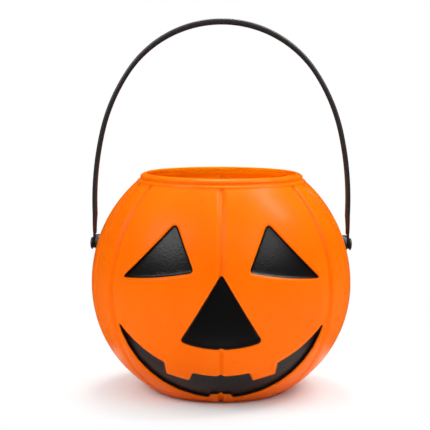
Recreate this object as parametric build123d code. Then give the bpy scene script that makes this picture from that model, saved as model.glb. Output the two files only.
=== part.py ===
from build123d import *
import os
from math import asin, cos, degrees, radians, sin, sqrt, tan

os.makedirs("parts", exist_ok=True)

# Pumpkin body: a turned shape of two arcs that meet upright on the widest ring
body_radius = 107.5
widest_z = 89.3
shoulder_rise = 86.5
foot_radius = 54.2
wall = 2.0

# Rim: an upright lip on the shoulder with a cut flange turned in round the opening
lip_radius = 67.2
lip_height = 5.04
flange_reach = 4.4
lip_round = 3.8

# Base: a flat foot ring round a pushed-up panel
foot_round = 5.0
inner_foot_round = 1.2
foot_ring_width = 14.3
panel_rise = 4.0

# Grooves down the body, as angles from the front
groove_angles = (0, 54, 72, 108, 126, 180, -126, -108, -72, -54)
groove_depth = 2.2
groove_width = 7.0
groove_end_drop = 12.5
groove_floor_round = 0.8
groove_top_fade = 3.0
groove_foot_fade = 5.2

# Face: recesses sunk into the front along the mould's opening direction
# Eyes and nose are placed across and up from the middle of the widest ring, the mouth up from the floor
recess_depth = 3.0
paint_coat = 0.25
paint_gap = 0.1
paint_margin = 0.15
eye_apex = (35.2, 58.6)
eye_outer_corner = (77.0, 15.0)
eye_inner_corner = (21.4, 23.5)
eye_foot_bow = 1.0
eye_corner_round = 2.0
nose_apex = (0.0, 23.0)
nose_corner = (32.0, -31.0)
nose_foot_bow = 5.5
nose_corner_round = 4.5
mouth_bottom_z = 5.9
mouth_lower_radius = 83.6
mouth_top_z = 29.1
mouth_upper_radius = 103.4
mouth_corner_round = 1.2

# Teeth: the upper pair across and up from the middle of the mouth's upper edge
upper_tooth_outer_top = (45.1, 17.0)
upper_tooth_outer_tip = (42.6, -0.8)
upper_tooth_inner_tip = (25.0, -5.2)
upper_tooth_inner_top = (20.3, 7.0)
lower_tooth_half = 8.6
lower_tooth_height = 4.4

# Handle: a flat strap bent to three tangent arcs on each side of the grip
handle_rise = 126.1
grip_angle = 55.0
haunch_angle = 77.0
haunch_radius = 150.0
arm_radius = 260.0
arm_bow = 1.1
strap_thickness = 3.9
grip_thickness = 5.0
strap_width = 8.0
strap_round = 0.8
arm_foot_rise = 22.0
tab_rise = 9.0

# Pivots: a rivet through each side wall, square to the mid plane
pivot_rise = 32.2
tab_thickness = 1.9
tab_wall_gap = 0.4
pin_radius = 2.2
eye_clearance = 0.08
hole_clearance = 0.05
tab_side_gap = 0.3
seat_gap = 0.02
rivet_collar_radius = 7.5
rivet_head_radius = 5.0
rivet_head_height = 2.2
rivet_head_edge = 0.7
barb_radius = 3.4
barb_tip_radius = 1.4
barb_length = 6.5
barb_taper = 2.5


def arc_center(end_r, rise):
    """Radius of the centre of an arc that starts upright on the widest ring and ends rise away at end_r."""
    return (body_radius ** 2 - end_r ** 2 - rise ** 2) / (2 * (body_radius - end_r))


# Sizes that follow from the ones above
upper_arc_center = arc_center(lip_radius, shoulder_rise)
lower_arc_center = arc_center(foot_radius, widest_z)
upper_arc_radius = body_radius - upper_arc_center
lower_arc_radius = body_radius - lower_arc_center
mitre = tan(radians(22.5))
beyond = 20.0


def lower_r(z, inset):
    """Radius of the lower arc at height z, with the surface moved in by inset."""
    return lower_arc_center + sqrt((lower_arc_radius - inset) ** 2 - (widest_z - z) ** 2)


def upper_z(r, inset):
    """Height of the upper arc at radius r, with the surface moved in by inset."""
    return widest_z + sqrt((upper_arc_radius - inset) ** 2 - (r - upper_arc_center) ** 2)


def upper_r(z, inset):
    """Radius of the upper arc at height z, with the surface moved in by inset."""
    return upper_arc_center + sqrt((upper_arc_radius - inset) ** 2 - (z - widest_z) ** 2)


opening_radius = lip_radius - flange_reach
rim_z = widest_z + shoulder_rise + lip_height
panel_foot = foot_radius - foot_ring_width
panel_radius = panel_foot - panel_rise
face_back_y = panel_foot + mitre * (wall + recess_depth) + wall
groove_top_z = rim_z - groove_end_drop
handle_top_z = rim_z + handle_rise
pivot_z = widest_z + pivot_rise
arm_foot_z = pivot_z + arm_foot_rise
tab_top_z = pivot_z + tab_rise
tab_radius = strap_width / 2
tab_round_limit = 0.45 * tab_thickness
tab_inner_x = upper_r(pivot_z - tab_radius, 0) + tab_wall_gap
tab_outer_x = tab_inner_x + tab_thickness
head_inner_x = tab_outer_x + tab_side_gap
collar_x = tab_inner_x - tab_side_gap


def turned(inset, shoulder_r, top):
    """The body turned about Z, its surface moved in by inset; top lists the profile above the shoulder."""
    low_radius = lower_arc_radius - inset
    up_radius = upper_arc_radius - inset
    foot_r = lower_r(inset, inset)
    shoulder = (shoulder_r, upper_z(shoulder_r, inset))
    widest = (body_radius - inset, widest_z)
    low_turn = asin((widest_z - inset) / low_radius) / 2
    up_turn = asin((shoulder[1] - widest_z) / up_radius) / 2
    low_mid = (lower_arc_center + low_radius * cos(low_turn), widest_z - low_radius * sin(low_turn))
    up_mid = (upper_arc_center + up_radius * cos(up_turn), widest_z + up_radius * sin(up_turn))
    base = Polyline(
        (0, panel_rise + inset),
        (panel_radius + mitre * inset, panel_rise + inset),
        (panel_foot + mitre * inset, inset),
        (foot_r, inset),
    )
    sides = ThreePointArc((foot_r, inset), low_mid, widest) + ThreePointArc(widest, up_mid, shoulder)
    upper = Polyline(shoulder, *top)
    axis_side = Line(top[-1], (0, panel_rise + inset))
    profile = make_face(base + sides + upper + axis_side)
    foot_corner = profile.vertices().sort_by_distance((foot_r, inset, 0))[0]
    profile = fillet(foot_corner, max(foot_round - inset, inner_foot_round))
    return profile


def solid_of(profile):
    return revolve(Plane.XZ * profile, Axis.Z)


def core(inset):
    """The plain closed body with its surface moved in by inset, without lip or opening."""
    crown = upper_z(opening_radius, inset)
    return solid_of(turned(inset, opening_radius, [(0, crown)]))


def groove(inset):
    """One groove down the +X side: a V that follows both arcs and ends in a cone under the rim."""
    floor_r = body_radius - inset - groove_depth
    rim_r = body_radius - inset + groove_depth
    half = groove_width
    section = make_face(Polyline((floor_r, 0), (rim_r, half), (rim_r, -half), close=True))
    tip = section.vertices().sort_by(Axis.X)[0]
    section = Pos(0, 0, widest_z) * fillet(tip, groove_floor_round)
    up_center = upper_arc_center - groove_top_fade
    low_center = lower_arc_center - groove_foot_fade
    up_axis = Axis((up_center, 0, widest_z), (0, -1, 0))
    low_axis = Axis((low_center, 0, widest_z), (0, 1, 0))
    up_turn = degrees(asin((groove_top_z - widest_z) / (floor_r - up_center)))
    low_turn = degrees(asin(widest_z / (floor_r - low_center)))
    upper = revolve(section, up_axis, up_turn)
    lower = revolve(section, low_axis, low_turn)
    end = Polyline((floor_r, 0), (rim_r, 0), (rim_r, half), close=True)
    end = revolve(Pos(0, 0, widest_z) * make_face(end), Axis((0, 0, widest_z), (1, 0, 0)))
    return upper + lower + end.rotate(up_axis, up_turn)


def grooves(inset):
    one = groove(inset)
    return [one.rotate(Axis.Z, angle - 90) for angle in groove_angles]


def wedge_outline(left, apex, right, foot_bow, corner_round):
    """A triangle with rounded corners and a bowed foot, placed from the middle of the widest ring."""
    foot_mid = ((left[0] + right[0]) / 2, (left[1] + right[1]) / 2 - foot_bow)
    wedge = make_face(Polyline(left, apex, right) + ThreePointArc(right, foot_mid, left))
    return Pos(0, widest_z) * fillet(wedge.vertices(), corner_round)


def mouth_outline():
    """A crescent between two circles, less two upper teeth and one lower tooth."""
    lower = Pos(0, mouth_bottom_z + mouth_lower_radius) * Circle(mouth_lower_radius)
    upper = Pos(0, mouth_top_z + mouth_upper_radius) * Circle(mouth_upper_radius)
    tooth = Polyline(
        upper_tooth_outer_top,
        upper_tooth_outer_tip,
        upper_tooth_inner_tip,
        upper_tooth_inner_top,
        close=True,
    )
    tooth = Pos(0, mouth_top_z) * make_face(tooth)
    lower_tooth = Pos(0, mouth_bottom_z) * Rectangle(2 * lower_tooth_half, 2 * lower_tooth_height)
    outline = lower - upper - tooth - mirror(tooth, Plane.YZ) - lower_tooth
    return fillet(outline.vertices(), mouth_corner_round)


def face_outlines():
    right_eye = wedge_outline(eye_inner_corner, eye_apex, eye_outer_corner, eye_foot_bow, eye_corner_round)
    nose_left = (-nose_corner[0], nose_corner[1])
    nose = wedge_outline(nose_left, nose_apex, nose_corner, nose_foot_bow, nose_corner_round)
    return {
        "right_eye_paint": right_eye,
        "left_eye_paint": mirror(right_eye, Plane.YZ),
        "nose_paint": nose,
        "mouth_paint": mouth_outline(),
    }


def forward(outline):
    """An outline in the front view drawn out along the mould's opening direction."""
    return extrude(Plane.XZ.offset(face_back_y) * outline, body_radius + beyond - face_back_y)


def recesses(inset):
    """What the face takes out of the front, with every surface moved in by inset."""
    prisms = [forward(offset(outline, inset) if inset else outline) for outline in face_outlines().values()]
    return [prism - core(inset + recess_depth) for prism in prisms]


def outer_body():
    """The outside of the pail as a closed block: foot, lip, face recesses and grooves."""
    profile = turned(0, lip_radius, [(lip_radius, rim_z), (0, rim_z)])
    lip_corner = profile.vertices().sort_by_distance((lip_radius, rim_z, 0))[0]
    block = solid_of(fillet(lip_corner, lip_round))
    return block - recesses(0) - grooves(0)


def cavity():
    """The inside of the pail, which follows the outside one wall thickness in, open through the rim."""
    neck_r = lip_radius - wall
    top = [
        (neck_r, rim_z - wall),
        (opening_radius, rim_z - wall),
        (opening_radius, rim_z + wall),
        (0, rim_z + wall),
    ]
    return solid_of(turned(wall, neck_r, top)) - recesses(wall) - grooves(wall)


def along_x(radius, x0, x1):
    """A round bar on the pivot axis from x0 to x1."""
    return Pos((x0 + x1) / 2, 0, pivot_z) * Rot(0, 90, 0) * Cylinder(radius, x1 - x0)


def pail_shell():
    bore = along_x(pin_radius + hole_clearance, -body_radius, body_radius)
    return outer_body() - cavity() - bore


def right_rivet():
    """Barbed shank through the wall, a collar shaped to the wall, a pin for the eye and a domed head."""
    dome_x = head_inner_x + rivet_head_height
    edge_x = head_inner_x + rivet_head_edge
    dome_radius = (rivet_head_radius ** 2 + (dome_x - edge_x) ** 2) / (2 * (dome_x - edge_x))
    half_turn = asin(rivet_head_radius / dome_radius) / 2
    crown = (dome_x - dome_radius * (1 - cos(half_turn)), dome_radius * sin(half_turn))
    rim_point = (edge_x, rivet_head_radius)
    rim = Polyline((dome_x, 0), (head_inner_x, 0), (head_inner_x, rivet_head_radius), rim_point)
    dome = ThreePointArc(rim_point, crown, (dome_x, 0))
    head = revolve(Plane.XZ * make_face(rim + dome), Axis.X)
    base_x = upper_r(pivot_z - barb_radius, wall) + wall
    tip_x = base_x - wall - barb_length
    barb = Polyline(
        (base_x, 0),
        (tip_x, 0),
        (tip_x, barb_tip_radius),
        (tip_x + barb_taper, barb_radius),
        (base_x, barb_radius),
        close=True,
    )
    barb = Pos(0, 0, pivot_z) * revolve(Plane.XZ * make_face(barb), Axis.X)
    bar = along_x(rivet_collar_radius, tip_x, collar_x)
    barb = barb - (bar - core(wall + seat_gap))
    collar = bar - core(-seat_gap)
    shank = along_x(pin_radius, tip_x + barb_taper, head_inner_x)
    return collar + shank + barb + Pos(0, 0, pivot_z) * head


def bail_handle():
    """The strap's two edges drawn as tangent arcs in the front view, drawn out to the strap's width."""
    grip_turn = radians(grip_angle)
    haunch_turn = radians(haunch_angle)
    half_width = tab_outer_x + arm_bow
    haunch_x = haunch_radius * (sin(haunch_turn) - sin(grip_turn))
    arm_x = arm_radius * (1 - sin(haunch_turn))
    grip_radius = (half_width - haunch_x - arm_x) / sin(grip_turn)
    grip_c = Vector(0, handle_top_z - grip_radius)
    grip_out = Vector(sin(grip_turn), cos(grip_turn))
    haunch_c = grip_c + grip_out * (grip_radius - haunch_radius)
    haunch_out = Vector(sin(haunch_turn), cos(haunch_turn))
    arm_c = haunch_c + haunch_out * (haunch_radius - arm_radius)

    def edge(depth, tab_x):
        """The right-hand half of one edge, depth below the outside of the strap, from the grip to the eye."""
        grip_end = grip_c + grip_out * (grip_radius - depth)
        haunch_end = haunch_c + haunch_out * (haunch_radius - depth)
        mid_turn = (grip_turn + haunch_turn) / 2
        haunch_mid = haunch_c + Vector(sin(mid_turn), cos(mid_turn)) * (haunch_radius - depth)
        drop = arm_foot_z - arm_c.Y
        reach = arm_radius - depth
        arm_end = Vector(arm_c.X + sqrt(reach ** 2 - drop ** 2), arm_foot_z)
        mid_lift = asin(cos(haunch_turn) / 2)
        arm_mid = arm_c + Vector(cos(mid_lift), sin(mid_lift)) * reach
        haunch = ThreePointArc(grip_end, haunch_mid, haunch_end)
        arm = ThreePointArc(haunch_end, arm_mid, arm_end)
        tab = Polyline(arm_end, (tab_x, tab_top_z), (tab_x, pivot_z))
        return grip_end, haunch + arm + tab

    outer_end, outer_edge = edge(0, tab_outer_x)
    inner_end, inner_edge = edge(strap_thickness, tab_inner_x)
    outer_grip = ThreePointArc((-outer_end.X, outer_end.Y), (0, handle_top_z), outer_end)
    inner_grip = ThreePointArc((-inner_end.X, inner_end.Y), (0, handle_top_z - grip_thickness), inner_end)
    right_foot = Line((tab_outer_x, pivot_z), (tab_inner_x, pivot_z))
    right = outer_edge + inner_edge + right_foot
    outline = make_face(right + mirror(right, Plane.YZ) + outer_grip + inner_grip)
    strap = extrude(Plane.XZ * outline, strap_width / 2, both=True)
    above_eyes = [line for line in strap.edges() if (line @ 0.5).Z > pivot_z + strap_round]
    long_edges = [line for line in above_eyes if abs((line @ 0.5).Y) > strap_width / 4]
    strap = fillet(long_edges, min(strap_round, tab_round_limit))
    tabs = along_x(tab_radius, tab_inner_x, tab_outer_x)
    strap = strap + tabs + mirror(tabs, Plane.YZ)
    bore_end = tab_outer_x + beyond
    return strap - along_x(pin_radius + eye_clearance, -bore_end, bore_end)


def paint(outline):
    """A thin coat over the floor of one recess."""
    coat = core(recess_depth - paint_gap - paint_coat) - core(recess_depth - paint_gap)
    return forward(offset(outline, -paint_margin)) & coat


rivet = right_rivet()
nodes = {
    "pail_shell": pail_shell(),
    "bail_handle": bail_handle(),
    "right_pivot_rivet": rivet,
    "left_pivot_rivet": mirror(rivet, Plane.YZ),
}
for name, outline in face_outlines().items():
    nodes[name] = paint(outline)
for name, node in nodes.items():
    export_step(node, f"parts/{name}.step")
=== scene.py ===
import math
import bmesh
import bpy
import numpy as np
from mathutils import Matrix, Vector
from mathutils.geometry import delaunay_2d_cdt


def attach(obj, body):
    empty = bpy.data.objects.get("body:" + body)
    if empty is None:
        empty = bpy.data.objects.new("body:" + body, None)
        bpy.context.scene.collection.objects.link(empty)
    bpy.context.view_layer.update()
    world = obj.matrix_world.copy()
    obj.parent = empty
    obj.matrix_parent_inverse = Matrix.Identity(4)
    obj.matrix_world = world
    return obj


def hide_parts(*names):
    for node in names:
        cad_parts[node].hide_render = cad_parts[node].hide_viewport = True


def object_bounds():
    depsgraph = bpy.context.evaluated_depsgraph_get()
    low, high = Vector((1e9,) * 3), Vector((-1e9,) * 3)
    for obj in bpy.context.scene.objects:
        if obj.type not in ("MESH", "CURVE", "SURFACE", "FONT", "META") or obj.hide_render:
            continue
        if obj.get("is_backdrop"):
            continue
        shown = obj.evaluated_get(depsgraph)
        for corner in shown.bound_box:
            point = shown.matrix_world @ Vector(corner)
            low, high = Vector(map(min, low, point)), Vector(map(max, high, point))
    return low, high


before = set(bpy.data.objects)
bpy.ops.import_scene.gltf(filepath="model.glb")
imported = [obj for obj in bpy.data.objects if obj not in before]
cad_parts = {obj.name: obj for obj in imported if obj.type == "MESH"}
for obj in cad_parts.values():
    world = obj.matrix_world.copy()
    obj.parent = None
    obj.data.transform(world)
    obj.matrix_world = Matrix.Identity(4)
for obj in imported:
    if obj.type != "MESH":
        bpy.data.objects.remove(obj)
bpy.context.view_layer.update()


# Pail shell: a thin bubble of orange polyethylene, blown into a two-part mould that opens along Y.
# The mould gives it the foot, the grooves and the sunk face in one shot, and the two beads of the rim
# stiffen the edge where the waste above the neck is cut off. Lengths are in millimetres.
mm = 0.001
scene = bpy.context.scene
body_radius = 107.5
widest_z = 89.3
shoulder_rise = 86.5
foot_radius = 54.2
wall = 2.0
lip_radius = 67.2
lip_height = 5.04
shoulder_round_r = 69.7
panel_rise = 4.0
foot_ring_width = 14.3
foot_round, inner_foot_round = 5.0, 3.0
fillet_step, arc_step, column_step = 0.6, 2.6, 3.3
upper_center = (body_radius ** 2 - lip_radius ** 2 - shoulder_rise ** 2) / (2 * (body_radius - lip_radius))
lower_center = (body_radius ** 2 - foot_radius ** 2 - widest_z ** 2) / (2 * (body_radius - foot_radius))
upper_radius = body_radius - upper_center
lower_radius = body_radius - lower_center
shoulder_z = widest_z + shoulder_rise
rim_z = shoulder_z + lip_height
panel_foot = foot_radius - foot_ring_width


def arc(center, radius, start, end, step):
    """Points and outward normals on an arc in the (r, z) half plane, angles in degrees from +r."""
    count = max(2, math.ceil(abs(math.radians(end - start)) * radius / step))
    turn = np.radians(np.linspace(start, end, count + 1))
    out = np.stack([np.cos(turn), np.sin(turn)], 1)
    return np.array(center) + radius * out, out


def chain(points):
    """A run of straight profile points; only the arcs have normals."""
    points = np.array(points, float)
    return points, np.zeros_like(points)


def wall_arcs(inset, foot, top_r):
    """The body's side from the foot up to a radius under the neck, its surface moved in by inset."""
    fillet_r = lower_center + math.sqrt((lower_radius - inset - foot) ** 2 - (widest_z - inset - foot) ** 2)
    foot_turn = math.degrees(math.atan2(inset + foot - widest_z, fillet_r - lower_center))
    top_turn = math.degrees(math.acos((top_r - upper_center) / (upper_radius - inset)))
    fillet = arc((fillet_r, inset + foot), foot, -90, foot_turn, fillet_step)
    lower = arc((lower_center, widest_z), lower_radius - inset, foot_turn, 0, arc_step)
    upper = arc((upper_center, widest_z), upper_radius - inset, 0, top_turn, arc_step)
    return [np.concatenate([fillet[k][:-1], lower[k][:-1], upper[k]]) for k in (0, 1)]


# The half section as (r, z): base panel and foot ring, side, rim outside, rim inside, inner side and floor
base = chain([
    (0, panel_rise), (14, panel_rise), (28, panel_rise), (34, panel_rise),
    (panel_foot - 4.6, 3.95), (panel_foot - 3.6, 3.7), (panel_foot - 2.6, 2.8), (panel_foot - 1.2, 1.4),
    (panel_foot - 0.2, 0.4), (panel_foot + 0.6, 0.05), (panel_foot + 2.2, 0), (46, 0), (49, 0), (51, 0)])
side = wall_arcs(0, foot_round, shoulder_round_r)
beads = chain([(rim_r, rim_z - drop) for rim_r, drop in (
    (69.6, 6.8), (69.45, 6.4), (69.2, 6.0), (68.8, 5.65), (68.3, 5.4), (67.8, 5.2), (67.4, 4.95),
    (67.1, 4.6), (66.95, 4.2), (66.9, 3.8), (66.95, 3.4), (67.0, 3.0), (66.95, 2.6), (66.75, 2.2),
    (66.4, 1.8), (65.9, 1.4), (65.3, 1.0), (64.6, 0.65), (63.8, 0.32), (63.2, 0.12), (62.7, 0.0))])
rim_inside = chain([(rim_r, rim_z - drop) for rim_r, drop in (
    (62.3, 0.1), (62.05, 0.4), (62.0, 0.8), (62.15, 1.2), (62.5, 1.45), (63.2, 1.6), (64.0, 2.0),
    (64.7, 2.7), (65.05, 3.5), (65.1, 4.3), (65.3, 5.0), (65.75, 5.7), (66.4, 6.4))])
inside = [run[::-1] for run in wall_arcs(wall, inner_foot_round, lip_radius)]
floor_z = panel_rise + wall
floor = chain([
    (51, wall), (49, wall), (46, wall), (panel_foot + 2.4, wall), (panel_foot + 0.9, 2.2),
    (panel_foot - 1.2, 4.1), (panel_foot - 2.8, 5.6), (panel_foot - 4.4, floor_z),
    (28, floor_z), (14, floor_z), (0, floor_z)])
parts = (base, side, beads, rim_inside, inside, floor)
profile, normals = [np.concatenate([part[k] for part in parts]) for k in (0, 1)]
step = np.concatenate([[0], np.cumsum(np.linalg.norm(np.diff(profile, axis=0), axis=1))])
side_start = len(base[0])
on_side = slice(side_start, side_start + len(side[0]))
inside_start = len(profile) - len(floor[0]) - len(inside[0])
rim_inside_start = inside_start - len(rim_inside[0])

groove_angles = (0, 54, 72, 108, 126, 180, -126, -108, -72, -54)
groove_depth, groove_half = 2.2, 3.1
groove_foot_loss = 0.95
chin_groove_loss, chin_groove_narrowing = 0.2, 1.3
groove_top_z = 172.3
groove_floor_round, groove_shoulder = 0.45, 0.28
groove_end_gap, groove_end_fade = 1.2, 2.0
loss_start, loss_span = math.radians(4), math.radians(24)
parting_angles = (90, -90)
parting_width, parting_height = 0.4, 0.16
skin_wave = 0.07


def column_angles():
    """Angles round the axis: close columns over each groove and parting line, even ones between."""
    near_groove = np.array([0, 0.5, 1.1, 1.9, 2.7, 3.3, 3.9, 4.6, 5.5, 6.6, 8.0])
    near_parting = np.array([0, 0.3, 0.7, 1.6])
    close = [(math.radians(a), near_groove) for a in groove_angles]
    close += [(math.radians(a), near_parting) for a in parting_angles]
    angles = np.concatenate([np.concatenate([a + near / body_radius, a - near[1:] / body_radius])
                             for a, near in close])
    angles = np.sort((angles + math.pi + 1e-9) % (2 * math.pi) - math.pi)
    filled = []
    for a, b in zip(angles, np.append(angles[1:], angles[0] + 2 * math.pi)):
        filled.extend(np.linspace(a, b, max(1, round((b - a) * body_radius / column_step)) + 1)[:-1])
    return np.array(filled)


def groove_inset(phi, turn, r):
    """How far grooves, parting lines and the uneven skin sink the surface, by angle and turn up the arc."""
    low = np.clip((-turn - loss_start) / loss_span, 0, 1)
    low = low * low * (3 - 2 * low)
    end_turn = math.asin((groove_top_z - widest_z) / upper_radius)
    past_end = np.maximum(turn - end_turn, 0) * upper_radius
    total = np.zeros_like(phi)
    for angle in groove_angles:
        depth = groove_depth - (chin_groove_loss if angle == 0 else groove_foot_loss) * low
        half = groove_half - (chin_groove_narrowing if angle == 0 else 0) * low
        across = ((phi - math.radians(angle) + math.pi) % (2 * math.pi) - math.pi) * r
        away = np.sqrt(across ** 2 + past_end ** 2 + groove_floor_round ** 2) - groove_floor_round
        total += groove_shoulder * np.logaddexp(0, (depth - depth / half * away) / groove_shoulder)
    from_parting = (np.abs(phi) - math.pi / 2) * body_radius
    parting = np.exp(-(from_parting / parting_width) ** 2) * parting_height
    wave = skin_wave * (np.sin(3 * phi + 4.1 * turn + 0.7) + np.sin(5 * phi - 6.3 * turn + 2.1))
    return total - parting + wave


def round_corners(points, radii):
    """A polygon with a curve of its own size at each corner that turns by more than 12 degrees."""
    straight_half, reach_share, curve_steps = math.radians(84), 0.49, 13
    rounded = []
    for k, (corner, radius) in enumerate(zip(points, np.broadcast_to(radii, len(points)))):
        back = points[k - 1] - corner
        ahead = points[(k + 1) % len(points)] - corner
        reach = min(np.linalg.norm(back), np.linalg.norm(ahead)) * reach_share
        back, ahead = back / np.linalg.norm(back), ahead / np.linalg.norm(ahead)
        half = math.acos(np.clip(back @ ahead, -1, 1)) / 2
        if half > straight_half:
            rounded.append(corner)
            continue
        tangent = min(radius / math.tan(half), reach)
        a, b = corner + back * tangent, corner + ahead * tangent
        for share in np.linspace(0, 1, curve_steps):
            rounded.append((1 - share) ** 2 * a + 2 * share * (1 - share) * corner + share ** 2 * b)
    return np.array(rounded)


def even_points(points, spacing):
    """A closed outline taken again at even steps."""
    ring = np.concatenate([points, points[:1]])
    length = np.concatenate([[0], np.cumsum(np.linalg.norm(np.diff(ring, axis=0), axis=1))])
    at = np.linspace(0, length[-1], round(length[-1] / spacing) + 1)[:-1]
    return np.stack([np.interp(at, length, ring[:, k]) for k in (0, 1)], 1)


def wedge(left, apex, right, bow, radii):
    """A triangle with a bowed foot and rounded corners, counterclockwise in the front view.

    Heights count from the widest level, and radii are those of the left, right and top corners.
    """
    share = np.linspace(0, 1, 8)[1:-1]
    foot = np.array(left) + np.outer(share, np.subtract(right, left))
    foot[:, 1] -= 4 * bow * share * (1 - share)
    corners = np.array([left, *foot, right, apex], float) + [0, widest_z]
    return round_corners(corners, [radii[0]] + [0] * len(foot) + list(radii[1:]))


mouth_bottom_z, mouth_lower_radius = 5.9, 83.6
mouth_top_z, mouth_upper_radius = 29.1, 103.4
mouth_corner_round = 1.7
lower_tooth_half, lower_tooth_top_half, lower_tooth_height = 9.5, 7.9, 4.4
upper_tooth_outer_x, upper_tooth_inner_x = 44.1, 22.05
upper_tooth_foot = ((42.6, 28.3), (25.0, 23.9))


def mouth():
    """A crescent between two circles with two teeth above and one below, counterclockwise in front."""
    low_z = mouth_bottom_z + mouth_lower_radius
    up_z = mouth_top_z + mouth_upper_radius
    tip_z = (low_z + up_z) / 2 + (mouth_lower_radius ** 2 - mouth_upper_radius ** 2) / (2 * (up_z - low_z))
    tip_x = math.sqrt(mouth_lower_radius ** 2 - (tip_z - low_z) ** 2)

    def low(x):
        return np.stack([x, low_z - np.sqrt(mouth_lower_radius ** 2 - x ** 2)], 1)

    def up(x):
        return np.stack([x, up_z - np.sqrt(mouth_upper_radius ** 2 - x ** 2)], 1)

    right = np.concatenate([
        np.array([[lower_tooth_top_half, mouth_bottom_z + lower_tooth_height]]),
        low(np.append(lower_tooth_half, tip_x * np.sin(np.radians([14, 24, 34, 44, 54, 64, 74])))),
        np.array([[tip_x, tip_z]]),
        up(tip_x * np.array([0.93, 0.85, 0.76, 0.66])),
        up(np.array([upper_tooth_outer_x])),
        np.array(upper_tooth_foot),
        up(np.array([upper_tooth_inner_x, 14.0, 6.0])),
    ])
    left = right[::-1] * [-1, 1]
    return round_corners(np.concatenate([right, left]), mouth_corner_round)


outline_step = 0.75
eye = wedge((20.9, 23.2), (35.0, 59.5), (77.2, 15.0), 1.0, (3.8, 3.6, 3.6))
outlines = {
    "right_eye_paint": eye,
    "left_eye_paint": (eye * [-1, 1])[::-1],
    "nose_paint": wedge((-32.0, -31.0), (0.0, 23.0), (32.0, -31.0), 5.5, (4.5, 4.5, 2.0)),
    "mouth_paint": mouth(),
}
outlines = {name: even_points(points, outline_step) for name, points in outlines.items()}


def distance(points, ring):
    """Distance of points to a closed outline, less than nothing inside it."""
    start, end = ring, np.roll(ring, -1, 0)
    best = np.full(len(points), np.inf)
    inside_it = np.zeros(len(points), bool)
    for a, b, d in zip(start, end, end - start):
        offset = points - a
        share = np.clip(offset @ d / (d @ d), 0, 1)
        gap = offset - share[:, None] * d
        best = np.minimum(best, (gap * gap).sum(1))
        crosses = (a[1] > points[:, 1]) != (b[1] > points[:, 1])
        if crosses.any():
            at_x = a[0] + (points[:, 1] - a[1]) * d[0] / (d[1] or 1e-12)
            inside_it ^= crosses & (points[:, 0] < at_x)
    return np.sqrt(best) * np.where(inside_it, -1, 1)


def offset_ring(ring, reach):
    """The outline moved out by reach, without the points that come too near to another part of it."""
    slack = 0.02
    tangent = np.roll(ring, -1, 0) - np.roll(ring, 1, 0)
    tangent /= np.linalg.norm(tangent, axis=1)[:, None]
    moved = ring + reach * np.stack([tangent[:, 1], -tangent[:, 0]], 1)
    return moved[np.abs(distance(moved, ring)) > abs(reach) - slack]


def nearest(points):
    """For points in the front view, the distance to the nearest face outline, or a long one far away."""
    margin, far_off = 8, 99.0
    found = np.full(len(points), far_off)
    for ring in outlines.values():
        close = np.all((points > ring.min(0) - margin) & (points < ring.max(0) + margin), 1)
        found[close] = np.minimum(found[close], distance(points[close], ring))
    return found


recess_depth = 3.0
recess_lip, recess_slope = 2.7, 62.0


def body_r(z, inset):
    """Radius of the plain body at a height, its surface moved in by inset."""
    low = lower_center + np.sqrt((lower_radius - inset) ** 2 - (widest_z - z) ** 2)
    up = upper_center + np.sqrt(np.maximum((upper_radius - inset) ** 2 - (z - widest_z) ** 2, 0))
    return np.where(z < widest_z, low, up)


def place(r, z, normal, phi, sink, inset):
    """Points on the body: sunk by the grooves, then pushed back along Y by a share of the recess."""
    turn = np.arctan2(normal[:, 1], normal[:, 0])
    on_arc = np.linalg.norm(normal, axis=1) > 0.5
    drop = np.where(on_arc, groove_inset(phi, turn, r), 0)
    drop = drop * np.clip((shoulder_z - groove_end_gap - z) / groove_end_fade, 0, 1)
    x = (r - drop * normal[:, 0]) * np.sin(phi)
    y = -(r - drop * normal[:, 0]) * np.cos(phi)
    z = z - drop * normal[:, 1]
    floor_r = body_r(z, inset + recess_depth)
    floor_y = -np.sqrt(np.maximum(floor_r ** 2 - x ** 2, 1))
    y = np.where(sink > 0, y + sink * (floor_y - y), y)
    return np.stack([x, y, z], 1)


# The lattice of rows along the profile and columns round the axis, with a boss inside behind each recess
front_cosine = 0.3
boss_reach, boss_slope = 4.6, 5.2
boss_foot_r, boss_foot_fade = 46, 8
angles = column_angles()
row_of, column_of = np.meshgrid(np.arange(len(profile)), np.arange(len(angles)), indexing="ij")
row_of, column_of = row_of.ravel(), column_of.ravel()
lattice_phi = angles[column_of]
lattice_r, lattice_z = profile[row_of].T
front = np.stack([lattice_r * np.sin(lattice_phi), lattice_z], 1)
within = (np.cos(lattice_phi) > front_cosine) & (row_of >= inside_start)
boss = np.clip((boss_reach - nearest(front[within])) / boss_slope, 0, 1)
boss = boss * boss * (3 - 2 * boss)
sink = np.zeros(len(row_of))
sink[within] = boss * np.clip((lattice_r[within] - boss_foot_r) / boss_foot_fade, 0, 1)
inset = np.where(row_of >= inside_start, wall, 0.0)
lattice = place(lattice_r, lattice_z, normals[row_of], lattice_phi, sink, inset)

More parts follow.
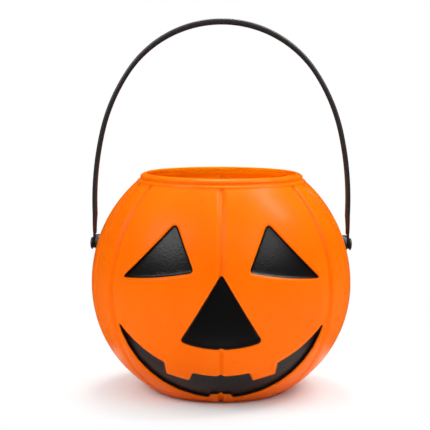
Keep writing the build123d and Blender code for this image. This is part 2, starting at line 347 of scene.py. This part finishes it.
# The front of the side, where rings of points follow each recess edge over its lip and down its wall.
# Each ring has a reach from the outline and a share of the recess depth, and a point where two cross lies
# halfway down.
patch_top_z, patch_half_angle = 160.3, 61
lip_margin, plain_margin, floor_margin = 0.8, 1.5, 2.3
least_z, join_within, crossing_sink = 0.05, 1e-5, 0.5
side_r, side_z = profile[on_side].T
side_step = step[on_side]
patch_low, patch_high = side_start, side_start + int(np.searchsorted(side_z, patch_top_z))
patch_left, patch_right = [int(np.argmin(np.abs(angles - math.radians(a))))
                           for a in (-patch_half_angle, patch_half_angle)]
lip_turns = np.radians(np.linspace(0, recess_slope, 7))
lip_reach = recess_lip * math.sin(lip_turns[-1])
edge_sink = recess_lip * (1 - math.cos(lip_turns[-1])) / recess_depth
ring_levels = [(lip_reach + lip_margin, 0.0)]
ring_levels += [(lip_reach - recess_lip * math.sin(t), recess_lip * (1 - math.cos(t)) / recess_depth)
                for t in lip_turns]
ring_levels += [(-0.35, edge_sink + 0.2), (-0.7, 0.86), (-1.1, 0.96), (-1.6, 1.0)]
in_patch = (row_of >= patch_low) & (row_of <= patch_high)
in_patch &= (column_of >= patch_left) & (column_of <= patch_right)
plain_gap = nearest(front[in_patch])
keep = (plain_gap > lip_reach + plain_margin) | (plain_gap < -floor_margin)
keep |= np.isin(row_of[in_patch], (patch_low, patch_high))
keep |= np.isin(column_of[in_patch], (patch_left, patch_right))
points = [np.stack([lattice_phi[in_patch][keep] * body_radius, step[row_of[in_patch][keep]]], 1)]
sinks = [np.where(plain_gap[keep] < 0, 1.0, 0.0)]
edges = []
count = keep.sum()
for ring in outlines.values():
    for reach, share in ring_levels:
        moved = offset_ring(ring, reach)
        moved[:, 1] = np.maximum(moved[:, 1], least_z)
        phi = np.arcsin(moved[:, 0] / np.interp(moved[:, 1], side_z, side_r))
        points.append(np.stack([phi * body_radius, np.interp(moved[:, 1], side_z, side_step)], 1))
        sinks.append(np.full(len(moved), share))
        edges.extend((count + k, count + (k + 1) % len(moved)) for k in range(len(moved)))
        count += len(moved)
points, sinks = np.concatenate(points), np.concatenate(sinks)
made = delaunay_2d_cdt([Vector(p) for p in points], edges, [], 0, join_within, True)
patch_uv = np.array([tuple(p) for p in made[0]])
patch_faces = [tuple(face) for face in made[2]]
patch_sink = np.array([sinks[source[0]] if source else crossing_sink for source in made[3]])
patch_phi = patch_uv[:, 0] / body_radius
patch_r, patch_z = [np.interp(patch_uv[:, 1], side_step, values) for values in (side_r, side_z)]
patch_normal = np.stack([np.interp(patch_uv[:, 1], side_step, normals[on_side][:, k]) for k in (0, 1)], 1)
patch = place(patch_r, patch_z, patch_normal, patch_phi, patch_sink, 0.0)


def mesh_object(name, vertices, faces, inside=None):
    """A smooth object from points in millimetres, doubled points joined, points of an inner wall marked."""
    data = bpy.data.meshes.new(name)
    data.from_pydata([tuple(v) for v in np.asarray(vertices) * mm], [], faces)
    if inside is not None:
        values = inside.astype(np.float32)
        data.attributes.new("inside", "FLOAT", "POINT").data.foreach_set("value", values)
    work = bmesh.new()
    work.from_mesh(data)
    bmesh.ops.remove_doubles(work, verts=work.verts, dist=0.002 * mm)
    bmesh.ops.dissolve_degenerate(work, edges=work.edges, dist=0.0001 * mm)
    work.to_mesh(data)
    work.free()
    data.shade_smooth()
    made = bpy.data.objects.new(name, data)
    scene.collection.objects.link(made)
    return made


faces = []
columns = len(angles)
for row in range(len(profile) - 1):
    for column in range(columns):
        if patch_low <= row < patch_high and patch_left <= column < patch_right:
            continue
        ahead = (column + 1) % columns
        faces.append((row * columns + column, row * columns + ahead,
                      (row + 1) * columns + ahead, (row + 1) * columns + column))
faces += [tuple(k + len(lattice) for k in face) for face in patch_faces]
inner = np.concatenate([row_of >= rim_inside_start, np.zeros(len(patch), bool)])
shell = mesh_object("pail_shell_skin", np.concatenate([lattice, patch]), faces, inner)


def add(tree, kind, values=(), **settings):
    """A new node with its settings, its sockets set to values or linked to other sockets."""
    node = tree.nodes.new(kind)
    for key, value in settings.items():
        setattr(node, key, value)
    for key, value in dict(values).items():
        if isinstance(value, bpy.types.NodeSocket):
            tree.links.new(value, node.inputs[key])
        else:
            node.inputs[key].default_value = value
    return node


def linear(code):
    """A colour written as sRGB hex, as the linear numbers a socket takes."""
    parts = [int(code[k:k + 2], 16) / 255 for k in (1, 3, 5)]
    return tuple(c / 12.92 if c <= 0.04045 else ((c + 0.055) / 1.055) ** 2.4 for c in parts) + (1.0,)


def finish(name):
    """A new material, its node tree and its surface shader."""
    material = bpy.data.materials.new(name)
    material.use_nodes = True
    tree = material.node_tree
    return material, tree, tree.nodes["Principled BSDF"]


# Blow-moulded polyethylene, semi-gloss: the colour goes through the wall, the skin is a little uneven,
# and light from behind glows through to the inner side
cloud_size, gloss_size, peel_size = 40 * mm, 9 * mm, 1.6 * mm
orange, tree, surface = finish("blow_moulded_orange_polyethylene")
where = add(tree, "ShaderNodeTexCoord").outputs["Object"]
streak = add(tree, "ShaderNodeMapping", {"Vector": where, "Scale": (1.0, 1.0, 0.25)}).outputs["Vector"]
cloud = add(tree, "ShaderNodeTexNoise",
            {"Vector": streak, "Scale": 1 / cloud_size, "Detail": 2.0}).outputs["Fac"]
tint = add(tree, "ShaderNodeValToRGB", {"Fac": cloud})
dark_end, light_end = tint.color_ramp.elements
dark_end.position, dark_end.color = 0.3, linear("#FB6C02")
light_end.position, light_end.color = 0.7, linear("#FE7204")
tree.links.new(tint.outputs["Color"], surface.inputs["Base Color"])
gloss = add(tree, "ShaderNodeTexNoise",
            {"Vector": where, "Scale": 1 / gloss_size, "Detail": 3.0}).outputs["Fac"]
gloss = add(tree, "ShaderNodeMapRange", {"Value": gloss, "To Min": 0.24, "To Max": 0.34}).outputs["Result"]
tree.links.new(gloss, surface.inputs["Roughness"])
peel = add(tree, "ShaderNodeTexNoise",
           {"Vector": where, "Scale": 1 / peel_size, "Detail": 2.0}).outputs["Fac"]
peel = add(tree, "ShaderNodeBump",
           {"Height": peel, "Strength": 0.2, "Distance": 0.05 * mm}).outputs["Normal"]
tree.links.new(peel, surface.inputs["Normal"])
surface.inputs["Specular IOR Level"].default_value = 0.065
within_wall = add(tree, "ShaderNodeAttribute", attribute_name="inside").outputs["Fac"]
glow = add(tree, "ShaderNodeMapRange",
           {"Value": within_wall, "To Min": 0.3, "To Max": 1.0}).outputs["Result"]
spread = add(tree, "ShaderNodeMapRange",
             {"Value": within_wall, "To Min": 2.5 * mm, "To Max": 12 * mm}).outputs["Result"]
tree.links.new(glow, surface.inputs["Subsurface Weight"])
tree.links.new(spread, surface.inputs["Subsurface Scale"])
surface.inputs["Subsurface Radius"].default_value = (1.0, 0.86, 0.25)
shell.data.materials.append(orange)
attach(shell, "pail")
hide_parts("pail_shell")


# Face paint: satin black sprayed through a mask onto the floor and wall of each recess.
# Each coat is its own thin skin, a little proud of the plastic and drawn down to it at its edge.
coat = 0.06
paint_reach = 0.6
same_share = 1e-6

# Satin paint, sprayed: near black, with a fine grain that breaks up the light on it
grain_size, cover_size = 1.5 * mm, 18 * mm
paint, tree, surface = finish("sprayed_satin_black_paint")
where = add(tree, "ShaderNodeTexCoord").outputs["Object"]
grain = add(tree, "ShaderNodeTexNoise",
            {"Vector": where, "Scale": 1 / grain_size, "Detail": 2.0}).outputs["Fac"]
cover = add(tree, "ShaderNodeTexNoise",
            {"Vector": where, "Scale": 1 / cover_size, "Detail": 2.0}).outputs["Fac"]
tint = add(tree, "ShaderNodeValToRGB", {"Fac": cover})
tint.color_ramp.elements[0].color = linear("#080707")
tint.color_ramp.elements[1].color = linear("#0C0B0B")
tree.links.new(tint.outputs["Color"], surface.inputs["Base Color"])
surface.inputs["Specular IOR Level"].default_value = 0.3
sheen = add(tree, "ShaderNodeMapRange", {"Value": grain, "To Min": 0.3, "To Max": 0.42}).outputs["Result"]
tree.links.new(sheen, surface.inputs["Roughness"])
spray = add(tree, "ShaderNodeBump",
            {"Height": grain, "Strength": 0.8, "Distance": 0.22 * mm}).outputs["Normal"]
tree.links.new(spray, surface.inputs["Normal"])

# The coats are cut from the triangles of the front and lifted along its normals
corner = np.array(patch_faces)
facet = np.cross(patch[corner[:, 1]] - patch[corner[:, 0]], patch[corner[:, 2]] - patch[corner[:, 0]])
upright = np.zeros_like(patch)
for k in range(3):
    np.add.at(upright, corner[:, k], facet)
upright /= np.linalg.norm(upright, axis=1)[:, None]
patch_front = np.stack([patch[:, 0], patch_z], 1)
lift = np.where(patch_sink < edge_sink + same_share, 0.0, coat)
for name, ring in outlines.items():
    there = (patch_sink >= edge_sink - same_share) & (distance(patch_front, ring) < paint_reach)
    chosen = corner[there[corner].all(1)]
    used, again = np.unique(chosen, return_inverse=True)
    again = again.reshape(chosen.shape)
    lifted = patch[used] + upright[used] * lift[used, None]
    skin = mesh_object(name + "_skin", lifted, [tuple(f) for f in again])
    skin.data.materials.append(paint)
    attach(skin, "pail")
    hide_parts(name)


# Bail handle: a flat strap of black polyethylene, moulded to three tangent arcs on each side and thicker at
# the grip. Its foot is thinner and bevelled inside, so that it clears the round body when it swings, and
# its thin round tabs have an eye that turns on the rivets.
handle_top_z = rim_z + 126.1
grip_turn, haunch_turn = math.radians(55), math.radians(77)
haunch_radius, arm_radius, arm_bow = 150.0, 260.0, 0.6
strap_thickness, grip_thickness, strap_width, strap_round = 3.9, 5.0, 8.0, 1.7
strap_step, least_step = 2.5, 0.05
pivot_z = widest_z + 32.2
wall_gap = 0.4
tab_thickness, tab_radius = 1.9, strap_width / 2
tab_inner_x = float(body_r(np.array(pivot_z - tab_radius), 0)) + wall_gap
tab_outer_x = tab_inner_x + tab_thickness
arm_foot_z, tab_top_z = pivot_z + 9.0, pivot_z + 7.9
thin_top_z, arm_thinning, arm_shift = pivot_z + 24.0, 0.95, 0.8
foot_bevel, bevel_growth = 0.8, 1.7
eye_radius = 2.28


def strap_half():
    """Middle line of the right half from the top down to the tab's end: x, z, thickness, width, bevel."""
    reach = tab_outer_x + arm_bow - haunch_radius * (math.sin(haunch_turn) - math.sin(grip_turn))
    grip_radius = (reach - arm_radius * (1 - math.sin(haunch_turn))) / math.sin(grip_turn)
    grip_center = np.array([0, handle_top_z - grip_radius])
    rows = []

    def follow(center, radius, start, end):
        for turn in np.linspace(start, end, math.ceil((end - start) * radius / strap_step) + 1):
            extra = max(0, math.cos(turn) - math.cos(grip_turn)) / (1 - math.cos(grip_turn))
            low = max(0, thin_top_z - center[1] - radius * math.cos(turn)) / (thin_top_z - arm_foot_z)
            thick = strap_thickness + (grip_thickness - strap_thickness) * extra - arm_thinning * low
            x, z = center + (radius - thick / 2) * np.array([math.sin(turn), math.cos(turn)])
            bevel = foot_bevel * min(1, bevel_growth * low)
            rows.append((x + arm_shift * low, z, thick, strap_width, bevel))
        return center + radius * np.array([math.sin(end), math.cos(end)])

    def next_center(end_point, turn, radius):
        return end_point - radius * np.array([math.sin(turn), math.cos(turn)])

    end_point = follow(grip_center, grip_radius, 0, grip_turn)
    haunch_center = next_center(end_point, grip_turn, haunch_radius)
    end_point = follow(haunch_center, haunch_radius, grip_turn, haunch_turn)
    arm_center = next_center(end_point, haunch_turn, arm_radius)
    arm_end = math.acos((arm_foot_z - arm_center[1]) / arm_radius)
    follow(arm_center, arm_radius, haunch_turn, arm_end)
    x, z, foot_thickness = rows[-1][:3]
    tab_x = (tab_inner_x + tab_outer_x) / 2
    for share in np.linspace(0, 1, 8)[1:]:
        eased = share * share * (3 - 2 * share)
        thick = foot_thickness + (tab_thickness - foot_thickness) * eased
        rows.append((x + (tab_x - x) * eased, z + (tab_top_z - z) * share, thick, strap_width, foot_bevel))
    for drop in (1.5, 3.0, 4.5, 6.0, 7.9):
        rows.append((tab_x, tab_top_z - drop, tab_thickness, strap_width, 0))
    for turn in np.radians([12, 24, 36, 48, 60, 70, 78, 84]):
        wide = strap_width * math.cos(turn)
        rows.append((tab_x, pivot_z - tab_radius * math.sin(turn), tab_thickness, wide, 0))
    kept = [rows[0]]
    for row in rows[1:]:
        if math.hypot(row[0] - kept[-1][0], row[1] - kept[-1][1]) > least_step:
            kept.append(row)
    return np.array(kept)


def line_object(name, spots, values):
    """A chain of edges through points (x, 0, z) in millimetres, with one number of each kind per point."""
    data = bpy.data.meshes.new(name)
    links = [(k, k + 1) for k in range(len(spots) - 1)]
    data.from_pydata([(x * mm, 0, z * mm) for x, z in spots], links, [])
    for key, numbers in values.items():
        numbers = numbers.astype(np.float32)
        data.attributes.new(key, "FLOAT", "POINT").data.foreach_set("value", numbers)
    made = bpy.data.objects.new(name, data)
    scene.collection.objects.link(made)
    return made


def node_group(name, inputs):
    """An empty Geometry Nodes tree with a geometry input, the named inputs and a geometry output."""
    tree = bpy.data.node_groups.new(name, "GeometryNodeTree")
    tree.interface.new_socket("Geometry", in_out="INPUT", socket_type="NodeSocketGeometry")
    for label, kind in inputs:
        tree.interface.new_socket(label, in_out="INPUT", socket_type=kind)
    tree.interface.new_socket("Geometry", in_out="OUTPUT", socket_type="NodeSocketGeometry")
    return tree, tree.nodes.new("NodeGroupInput").outputs


def grown(source, tree, values, name):
    """The plain mesh object that a Geometry Nodes tree with those inputs makes of a source object."""
    modifier = source.modifiers.new(tree.name, "NODES")
    modifier.node_group = tree
    for item in tree.interface.items_tree:
        if item.in_out == "INPUT" and item.name in values:
            modifier[item.identifier] = values[item.name]
    evaluated = source.evaluated_get(bpy.context.evaluated_depsgraph_get())
    data = bpy.data.meshes.new_from_object(evaluated)
    data.name = name
    made = bpy.data.objects.new(name, data)
    scene.collection.objects.link(made)
    bpy.data.objects.remove(source)
    return made


# Moulded black polyethylene, satin: a rubbed skin with faint cloudy wear
wear_size, rub_size = 14 * mm, 3 * mm
black, tree, surface = finish("moulded_black_polyethylene")
where = add(tree, "ShaderNodeTexCoord").outputs["Object"]
cloud = add(tree, "ShaderNodeTexNoise",
            {"Vector": where, "Scale": 1 / wear_size, "Detail": 3.0}).outputs["Fac"]
tint = add(tree, "ShaderNodeValToRGB", {"Fac": cloud})
tint.color_ramp.elements[0].color = linear("#161617")
tint.color_ramp.elements[1].color = linear("#1E1E1F")
tree.links.new(tint.outputs["Color"], surface.inputs["Base Color"])
surface.inputs["Specular IOR Level"].default_value = 0.8
rub = add(tree, "ShaderNodeTexNoise",
          {"Vector": where, "Scale": 1 / rub_size, "Detail": 4.0}).outputs["Fac"]
worn = add(tree, "ShaderNodeMapRange", {"Value": rub, "To Min": 0.42, "To Max": 0.54}).outputs["Result"]
tree.links.new(worn, surface.inputs["Roughness"])
fine = add(tree, "ShaderNodeBump",
           {"Height": rub, "Strength": 0.15, "Distance": 0.05 * mm}).outputs["Normal"]
tree.links.new(fine, surface.inputs["Normal"])

# The strap: a circle swept along the middle line, its quarters pushed out to a rectangle with round edges.
# Where there is a bevel, the inner side is drawn in towards the middle of the width.
round_limit = 0.45
tree, given = node_group("strap_sweep", [
    ("Edge Round", "NodeSocketFloat"), ("Section Steps", "NodeSocketInt"), ("Finish", "NodeSocketMaterial")])
curve = add(tree, "GeometryNodeMeshToCurve", {0: given["Geometry"]}).outputs[0]
place_of = add(tree, "GeometryNodeInputPosition").outputs[0]
tangent = add(tree, "GeometryNodeInputTangent").outputs[0]
for key, value in (("middle", place_of), ("along", tangent)):
    curve = add(tree, "GeometryNodeStoreNamedAttribute", {"Geometry": curve, "Name": key, "Value": value},
                data_type="FLOAT_VECTOR", domain="POINT").outputs[0]
circle = add(tree, "GeometryNodeCurvePrimitiveCircle",
             {"Resolution": given["Section Steps"], "Radius": 1.0}).outputs[0]
half_step = add(tree, "ShaderNodeMath", {0: math.pi, 1: given["Section Steps"]},
                operation="DIVIDE").outputs[0]
turned = add(tree, "ShaderNodeCombineXYZ", {2: half_step}).outputs[0]
circle = add(tree, "GeometryNodeTransform", {"Geometry": circle, "Rotation": turned}).outputs[0]
circle = add(tree, "GeometryNodeStoreNamedAttribute",
             {"Geometry": circle, "Name": "toward", "Value": place_of},
             data_type="FLOAT_VECTOR", domain="POINT").outputs[0]
swept = add(tree, "GeometryNodeCurveToMesh",
            {"Curve": curve, "Profile Curve": circle, "Fill Caps": True}).outputs[0]
middle, along, toward = [
    add(tree, "GeometryNodeInputNamedAttribute", {"Name": key}, data_type="FLOAT_VECTOR").outputs[0]
    for key in ("middle", "along", "toward")]
thick, wide, bevel = [
    add(tree, "GeometryNodeInputNamedAttribute", {"Name": key}, data_type="FLOAT").outputs[0]
    for key in ("thick", "wide", "bevel")]
least = add(tree, "ShaderNodeMath", {0: thick, 1: wide}, operation="MINIMUM").outputs[0]
least = add(tree, "ShaderNodeMath", {0: least, 1: round_limit}, operation="MULTIPLY").outputs[0]
edge_round = add(tree, "ShaderNodeMath", {0: least, 1: given["Edge Round"]}, operation="MINIMUM").outputs[0]
size = add(tree, "ShaderNodeCombineXYZ", {0: thick, 1: wide}).outputs[0]
flat = add(tree, "ShaderNodeVectorMath", {0: size, "Scale": 0.5}, operation="SCALE").outputs[0]
flat = add(tree, "ShaderNodeVectorMath", {0: flat, 1: edge_round}, operation="SUBTRACT").outputs[0]
quarter = add(tree, "ShaderNodeVectorMath", {0: toward}, operation="SIGN").outputs[0]
flat = add(tree, "ShaderNodeVectorMath", {0: quarter, 1: flat}, operation="MULTIPLY").outputs[0]
bent = add(tree, "ShaderNodeVectorMath", {0: toward, "Scale": edge_round}, operation="SCALE").outputs[0]
pushed = add(tree, "ShaderNodeVectorMath", {0: flat, 1: bent}, operation="ADD").outputs[0]
pushed = add(tree, "ShaderNodeSeparateXYZ", {0: pushed}).outputs
outward = add(tree, "ShaderNodeSeparateXYZ", {0: toward}).outputs[0]
inward = add(tree, "ShaderNodeMath", {0: outward, 1: -1.0}, operation="MULTIPLY").outputs[0]
inward = add(tree, "ShaderNodeMath", {0: inward, 1: 0.0}, operation="MAXIMUM").outputs[0]
slimmed = add(tree, "ShaderNodeMath", {0: inward, 1: bevel}, operation="MULTIPLY").outputs[0]
slimmed = add(tree, "ShaderNodeMath", {0: 1.0, 1: slimmed}, operation="SUBTRACT").outputs[0]
side_by = add(tree, "ShaderNodeMath", {0: pushed[1], 1: slimmed}, operation="MULTIPLY").outputs[0]
side_by = add(tree, "ShaderNodeCombineXYZ", {1: side_by}).outputs[0]
across = add(tree, "ShaderNodeVectorMath", {0: along, 1: (0, 1, 0)}, operation="CROSS_PRODUCT").outputs[0]
out_by = add(tree, "ShaderNodeVectorMath", {0: across, "Scale": pushed[0]}, operation="SCALE").outputs[0]
at = add(tree, "ShaderNodeVectorMath", {0: middle, 1: out_by}, operation="ADD").outputs[0]
at = add(tree, "ShaderNodeVectorMath", {0: at, 1: side_by}, operation="ADD").outputs[0]
swept = add(tree, "GeometryNodeSetPosition", {"Geometry": swept, "Position": at}).outputs[0]
swept = add(tree, "GeometryNodeSetShadeSmooth", {"Geometry": swept, "Shade Smooth": True}).outputs[0]
swept = add(tree, "GeometryNodeRealizeInstances", {0: swept}).outputs[0]
swept = add(tree, "GeometryNodeSetMaterial", {"Geometry": swept, "Material": given["Finish"]}).outputs[0]
add(tree, "NodeGroupOutput", {0: swept})

right_half = strap_half()
left_half = right_half[:0:-1] * [-1, 1, 1, 1, 1]
line = np.concatenate([left_half, right_half])
strap_line = line_object("strap_line", line[:, :2], {
    "thick": line[:, 2] * mm, "wide": line[:, 3] * mm, "bevel": line[:, 4]})
strap = grown(strap_line, tree, {"Edge Round": strap_round * mm, "Section Steps": 32, "Finish": black},
              "bail_handle_strap")

# The eyes are drilled through both tabs at once
crease = math.radians(50)
bpy.ops.mesh.primitive_cylinder_add(
    vertices=48, radius=eye_radius * mm, depth=2.4 * body_radius * mm,
    location=(0, 0, pivot_z * mm), rotation=(0, math.pi / 2, 0))
drill = bpy.context.object
cut = strap.modifiers.new("eye", "BOOLEAN")
cut.operation, cut.solver, cut.object = "DIFFERENCE", "EXACT", drill
drilled = bpy.data.meshes.new_from_object(strap.evaluated_get(bpy.context.evaluated_depsgraph_get()))
strap.modifiers.clear()
strap.data = drilled
bpy.data.objects.remove(drill)
strap.data.set_sharp_from_angle(angle=crease)
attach(strap, "handle")
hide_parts("bail_handle")


# Pivot rivets: barbed black plastic rivets pushed through the side walls, each with a collar against the
# wall, a pin in the handle's eye and a domed head outside.
side_play = 0.3
collar_x, head_x = tab_inner_x - side_play, tab_outer_x + side_play
head_radius, head_height, head_edge = 5.0, 2.2, 0.7
collar_radius, pin_radius = 7.5, 2.2
collar_sink, collar_least = 0.5, 0.6
barb_radius, barb_tip_radius = 3.4, 1.4
barb_tip, barb_back, barb_front = 6.5, 4.0, 0.8
edge_near, edge_far = 0.1, 0.4
axis_r, same_spot = 0.01, 0.01
inner_wall_x = float(body_r(np.array(pivot_z), wall))
collar_back_x = inner_wall_x + collar_sink
dome = [(head_x + head_edge + (head_height - head_edge) * math.sin(t), head_radius * math.cos(t) ** 0.9)
        for t in np.radians([12, 24, 36, 48, 60, 72, 82])]
half_section = [
    (inner_wall_x - barb_tip, axis_r), (inner_wall_x - barb_tip, barb_tip_radius),
    (inner_wall_x - barb_back, barb_radius), (inner_wall_x - barb_front, barb_radius),
    (inner_wall_x - barb_front, pin_radius), (collar_back_x, pin_radius),
    (collar_back_x, collar_radius), (collar_x - edge_far, collar_radius),
    (collar_x - edge_near, collar_radius - edge_near), (collar_x, collar_radius - edge_far),
    (collar_x, pin_radius), (head_x, pin_radius), (head_x, head_radius - edge_far),
    (head_x + edge_near, head_radius - edge_near), (head_x + edge_far, head_radius),
    *dome, (head_x + head_height, axis_r)]

# The rivet is turned from its half section and set twice, half a turn apart about the pail's axis
tree, given = node_group("turned_rivets", [
    ("Steps", "NodeSocketInt"), ("Height", "NodeSocketFloat"), ("Count", "NodeSocketInt"),
    ("Finish", "NodeSocketMaterial")])
curve = add(tree, "GeometryNodeMeshToCurve", {0: given["Geometry"]}).outputs[0]
place_of = add(tree, "GeometryNodeInputPosition").outputs[0]
curve = add(tree, "GeometryNodeStoreNamedAttribute",
            {"Geometry": curve, "Name": "middle", "Value": place_of},
            data_type="FLOAT_VECTOR", domain="POINT").outputs[0]
circle = add(tree, "GeometryNodeCurvePrimitiveCircle",
             {"Resolution": given["Steps"], "Radius": 1.0}).outputs[0]
circle = add(tree, "GeometryNodeStoreNamedAttribute",
             {"Geometry": circle, "Name": "toward", "Value": place_of},
             data_type="FLOAT_VECTOR", domain="POINT").outputs[0]
turned = add(tree, "GeometryNodeCurveToMesh",
             {"Curve": curve, "Profile Curve": circle, "Fill Caps": True}).outputs[0]
middle, toward = [
    add(tree, "GeometryNodeInputNamedAttribute", {"Name": key}, data_type="FLOAT_VECTOR").outputs[0]
    for key in ("middle", "toward")]
middle = add(tree, "ShaderNodeSeparateXYZ", {0: middle}).outputs
toward = add(tree, "ShaderNodeSeparateXYZ", {0: toward}).outputs
deep = add(tree, "ShaderNodeMath", {0: middle[2], 1: toward[0]}, operation="MULTIPLY").outputs[0]
high = add(tree, "ShaderNodeMath", {0: middle[2], 1: toward[1]}, operation="MULTIPLY").outputs[0]
high = add(tree, "ShaderNodeMath", {0: high, 1: given["Height"]}, operation="ADD").outputs[0]
at = add(tree, "ShaderNodeCombineXYZ", {0: middle[0], 1: deep, 2: high}).outputs[0]
turned = add(tree, "GeometryNodeSetPosition", {"Geometry": turned, "Position": at}).outputs[0]
turned = add(tree, "GeometryNodeSetShadeSmooth", {"Geometry": turned, "Shade Smooth": True}).outputs[0]
sides = add(tree, "GeometryNodePoints", {"Count": given["Count"], "Position": (0, 0, 0)}).outputs[0]
index = add(tree, "GeometryNodeInputIndex").outputs[0]
spin = add(tree, "ShaderNodeMath", {0: index, 1: 2 * math.pi}, operation="MULTIPLY").outputs[0]
spin = add(tree, "ShaderNodeMath", {0: spin, 1: given["Count"]}, operation="DIVIDE").outputs[0]
spin = add(tree, "ShaderNodeCombineXYZ", {2: spin}).outputs[0]
both = add(tree, "GeometryNodeInstanceOnPoints",
           {"Points": sides, "Instance": turned, "Rotation": spin}).outputs[0]
both = add(tree, "GeometryNodeRealizeInstances", {0: both}).outputs[0]
both = add(tree, "GeometryNodeSetMaterial", {"Geometry": both, "Material": given["Finish"]}).outputs[0]
add(tree, "NodeGroupOutput", {0: both})
rivet_line = line_object("rivet_line", half_section, {})
rivets = grown(rivet_line, tree, {"Steps": 48, "Height": pivot_z * mm, "Count": 2, "Finish": black},
               "pivot_rivets")

# The back of each collar takes the slope of the wall that it lies on
spots = np.zeros(len(rivets.data.vertices) * 3, np.float32)
rivets.data.vertices.foreach_get("co", spots)
spots = spots.reshape(-1, 3).astype(float) / mm
wide_out = np.hypot(spots[:, 1], spots[:, 2] - pivot_z)
backs = np.abs(np.abs(spots[:, 0]) - collar_back_x) < same_spot
backs &= wide_out > pin_radius + same_spot
wall_x = np.sqrt(body_r(spots[:, 2], 0) ** 2 - spots[:, 1] ** 2) - collar_sink
spots[backs, 0] = np.sign(spots[backs, 0]) * np.minimum(wall_x, collar_x - collar_least)[backs]
rivets.data.vertices.foreach_set("co", (spots * mm).astype(np.float32).ravel())
rivets.data.set_sharp_from_angle(angle=crease)
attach(rivets, "pail")
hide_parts("left_pivot_rivet", "right_pivot_rivet")


# Studio: a white floor, a ceiling of soft light with boxes under it, and the camera of the photograph.
# The floor keeps the pail's shadow and turns plain white further out. Past a reach from the axis it is
# painted dark grey for reflections only, a painted shade that stands in for a dim room.
floor_size = 8
shadow_reach = (0.05, 0.142)
painted_shade_reflection_reach = (0.12, 0.15)
bpy.ops.mesh.primitive_plane_add(size=floor_size)
ground = bpy.context.object
ground.name = "floor"
pale, tree, surface = finish("white_studio_floor")
surface.inputs["Base Color"].default_value = linear("#F6F8F8")
surface.inputs["Roughness"].default_value = 0.9
surface.inputs["Specular IOR Level"].default_value = 0.1
where = add(tree, "ShaderNodeTexCoord").outputs["Object"]
away = add(tree, "ShaderNodeVectorMath", {0: where}, operation="LENGTH").outputs["Value"]
rays = add(tree, "ShaderNodeLightPath").outputs
# Painted shade: past this reach the floor shows dark grey in reflections only, standing in for a dim room
far = add(tree, "ShaderNodeMapRange",
          {"Value": away, "From Min": painted_shade_reflection_reach[0], "From Max": painted_shade_reflection_reach[1]}).outputs["Result"]
far = add(tree, "ShaderNodeMath", {0: far, 1: rays["Is Glossy Ray"]}, operation="MULTIPLY").outputs[0]
bare = add(tree, "ShaderNodeMapRange",
           {"Value": away, "From Min": shadow_reach[0], "From Max": shadow_reach[1]}).outputs["Result"]
bare = add(tree, "ShaderNodeMath", {0: bare, 1: rays["Is Camera Ray"]}, operation="MULTIPLY").outputs[0]
dark = add(tree, "ShaderNodeBsdfDiffuse", {"Color": linear("#3F3F3F")})
muted = add(tree, "ShaderNodeMixShader", {"Fac": far, 1: surface.outputs[0], 2: dark.outputs[0]})
plain = add(tree, "ShaderNodeEmission", {"Color": linear("#FFFFFF"), "Strength": 1.0})
mixed = add(tree, "ShaderNodeMixShader", {"Fac": bare, 1: muted.outputs[0], 2: plain.outputs[0]})
tree.links.new(mixed.outputs[0], tree.nodes["Material Output"].inputs["Surface"])
ground.data.materials.append(pale)
ground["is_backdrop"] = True

# The ceiling is brightest overhead and dimmer at the back; the camera sees plain white
world = bpy.data.worlds.new("studio")
scene.world = world
world.use_nodes = True
tree = world.node_tree
tree.nodes.clear()
seen = add(tree, "ShaderNodeLightPath").outputs["Is Camera Ray"]
heading = add(tree, "ShaderNodeTexCoord").outputs["Generated"]
heading = add(tree, "ShaderNodeSeparateXYZ", {0: heading}).outputs
ceiling = add(tree, "ShaderNodeMapRange",
              {"Value": heading[2], "From Min": 0.25, "From Max": 0.75, "To Min": 0.06, "To Max": 0.5},
              interpolation_type="SMOOTHSTEP").outputs["Result"]
ahead = add(tree, "ShaderNodeMapRange",
            {"Value": heading[1], "From Max": 0.5, "To Min": 1.0, "To Max": 0.25},
            interpolation_type="SMOOTHSTEP").outputs["Result"]
level = add(tree, "ShaderNodeMath", {0: ceiling, 1: ahead}, operation="MULTIPLY").outputs[0]
ambient = add(tree, "ShaderNodeBackground", {"Color": linear("#FFFFFF"), "Strength": level})
white = add(tree, "ShaderNodeBackground", {"Color": linear("#FFFFFF"), "Strength": 1.0})
mixed = add(tree, "ShaderNodeMixShader", {"Fac": seen, 1: ambient.outputs[0], 2: white.outputs[0]})
add(tree, "ShaderNodeOutputWorld", {"Surface": mixed.outputs[0]})


def softbox(name, spot, aim, size, watts):
    """A rectangular soft box at a spot in metres, turned to its aim."""
    light = bpy.data.lights.new(name, "AREA")
    light.shape = "RECTANGLE"
    light.size, light.size_y = size
    light.energy = watts
    lamp = bpy.data.objects.new(name, light)
    lamp.location = spot
    lamp.rotation_euler = (Vector(aim) - Vector(spot)).to_track_quat("-Z", "Y").to_euler()
    scene.collection.objects.link(lamp)


upper_face, lower_face = (0, 0, 0.12), (0, 0, 0.1)
softbox("key", (0.67, -0.07, 0.99), upper_face, (0.15, 0.36), 4.6)
softbox("right_back", (0.44, 0.12, 1.08), upper_face, (0.26, 0.26), 2.8)
softbox("back", (0.0, 0.42, 1.32), upper_face, (0.4, 0.4), 13)
softbox("left", (-0.84, -0.54, 0.86), lower_face, (0.8, 0.5), 6.8)
softbox("right", (0.7, -0.75, 0.82), lower_face, (0.7, 0.45), 3.1)

camera_pitch, camera_roll = math.radians(6.4), math.radians(0.27)
camera = bpy.data.cameras.new("camera")
camera.sensor_width = 36.0
camera.lens = 111.64
eye_point = bpy.data.objects.new("camera", camera)
eye_point.location = (-5.2 * mm, -1100 * mm, 268.72 * mm)
eye_point.rotation_euler = (math.pi / 2 - camera_pitch, 0, 0)
eye_point.rotation_euler.rotate_axis("Z", camera_roll)
scene.collection.objects.link(eye_point)
scene.camera = eye_point
scene.view_settings.view_transform = "Standard"

low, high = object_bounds()
